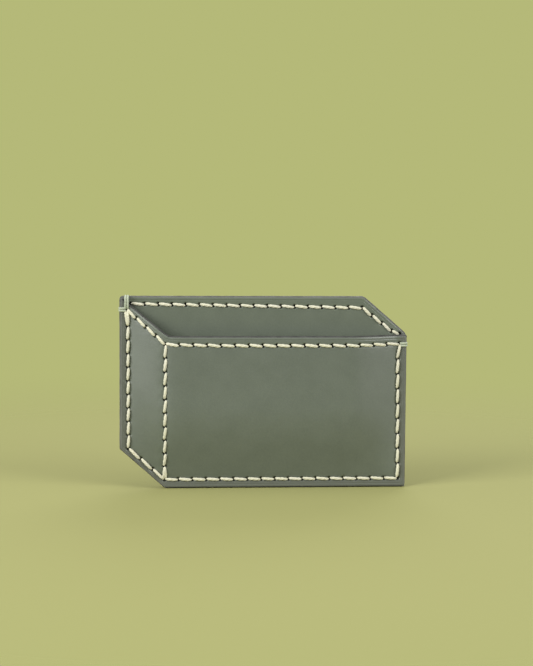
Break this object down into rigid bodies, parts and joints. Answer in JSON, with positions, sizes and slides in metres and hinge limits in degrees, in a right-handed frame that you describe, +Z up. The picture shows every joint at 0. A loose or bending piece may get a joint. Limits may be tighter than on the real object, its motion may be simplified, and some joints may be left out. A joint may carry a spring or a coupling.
{
  "type": "card holder",
  "caption": "Flat stitched leather card holder whose outline and seams draw an open box, with a full-width pocket behind its bowed front.",
  "frame": {"origin": "under the middle of the holder's width and depth, on the surface it stands on", "axes": "+Z up, +X to the right along the width as seen from the front, +Y towards the rear; the front faces -Y"},
  "size_m": [0.1112, 0.0124, 0.0741],
  "materials": {
    "outer_leather": "smooth, satin, grey-green",
    "lining_leather": "smooth, matt, grey-green",
    "waxed_thread": "cream, twisted and waxed",
    "edge_paint": "dark grey-brown, burnished"
  },
  "bodies": {
    "root": {"rear_panel": "outer_leather", "back_lining": "lining_leather", "front_lining": "lining_leather", "front_panel": "outer_leather", "perimeter_thread": "waxed_thread", "mouth_thread": "waxed_thread", "corner_thread": "waxed_thread", "rim_thread": "waxed_thread", "edge_paint_left": "edge_paint", "edge_paint_lower_left": "edge_paint", "edge_paint_bottom": "edge_paint", "edge_paint_right": "edge_paint", "edge_paint_rim": "edge_paint", "edge_paint_mouth": "edge_paint"}
  },
  "joints": []
}
